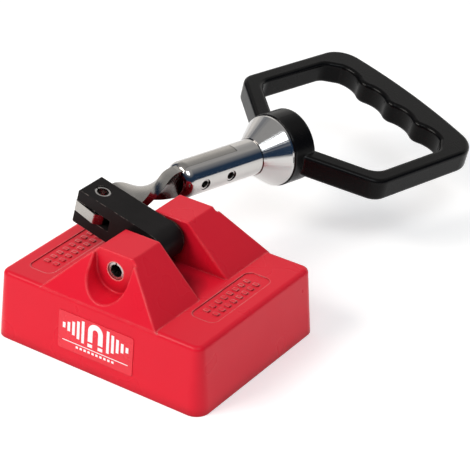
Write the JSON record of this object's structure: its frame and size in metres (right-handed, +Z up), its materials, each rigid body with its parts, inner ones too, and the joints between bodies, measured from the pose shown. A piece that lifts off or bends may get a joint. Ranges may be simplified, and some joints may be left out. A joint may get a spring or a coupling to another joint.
{
  "type": "hand lifting magnet",
  "caption": "red block-shaped permanent hand magnet with a forked black lever between two lugs, a twisted strap and a chrome shank ending in a black D-shaped finger-grip handle",
  "frame": {"origin": "centre of the pole face, the flat underside that holds the load", "axes": "+X runs along the front face with the label, towards the side away from the parked lever; +Y points back, the way the parked handle points; +Z is up, out of the top of the housing, and -Z is the way the pole face looks"},
  "size_m": [0.1229, 0.2651, 0.0691],
  "materials": {
    "red_paint": "gloss",
    "black_oxide": "satin",
    "pin_steel": "satin",
    "pole_steel": "ground",
    "screw_steel": "satin",
    "ferrite": "matte",
    "resin": "matte",
    "brass_spacer": "satin",
    "bright_chrome": "polished",
    "plated_strap": "polished",
    "handle_black": "gloss",
    "label_film": "printed",
    "label_white": "printed"
  },
  "bodies": {
    "housing": {"housing": "red_paint", "front_label": "label_film", "backing_plate": "pole_steel", "pole_bar_front": "pole_steel", "pole_bar_middle": "pole_steel", "pole_bar_rear": "pole_steel", "pole_screws": "screw_steel", "magnet_front_left": "ferrite", "magnet_front_right": "ferrite", "magnet_rear_left": "ferrite", "magnet_rear_right": "ferrite", "resin_front": "resin", "resin_rear": "resin", "pivot_pin": "pin_steel", "pivot_spacer_front": "brass_spacer", "pivot_spacer_rear": "brass_spacer"},
    "lever": {"lever": "black_oxide", "fork_pin": "pin_steel"},
    "carrier": {"strap": "plated_strap", "shank": "bright_chrome", "cross_pins": "pin_steel", "ferrule": "bright_chrome", "handle": "handle_black", "handle_washer": "screw_steel", "handle_bolt": "screw_steel"}
  },
  "joints": [
    {"name": "lever_pivot", "type": "hinge", "parent": "housing", "child": "lever", "pos_m": [0, 0, 0.0482], "axis": [0, 1, 0], "range_deg": [0, 152.7]},
    {"name": "strap_pivot", "type": "hinge", "parent": "lever", "child": "carrier", "pos_m": [-0.03401, 0, 0.05646], "axis": [0.236, 0, 0.9718], "range_deg": [0, 206.8]}
  ]
}
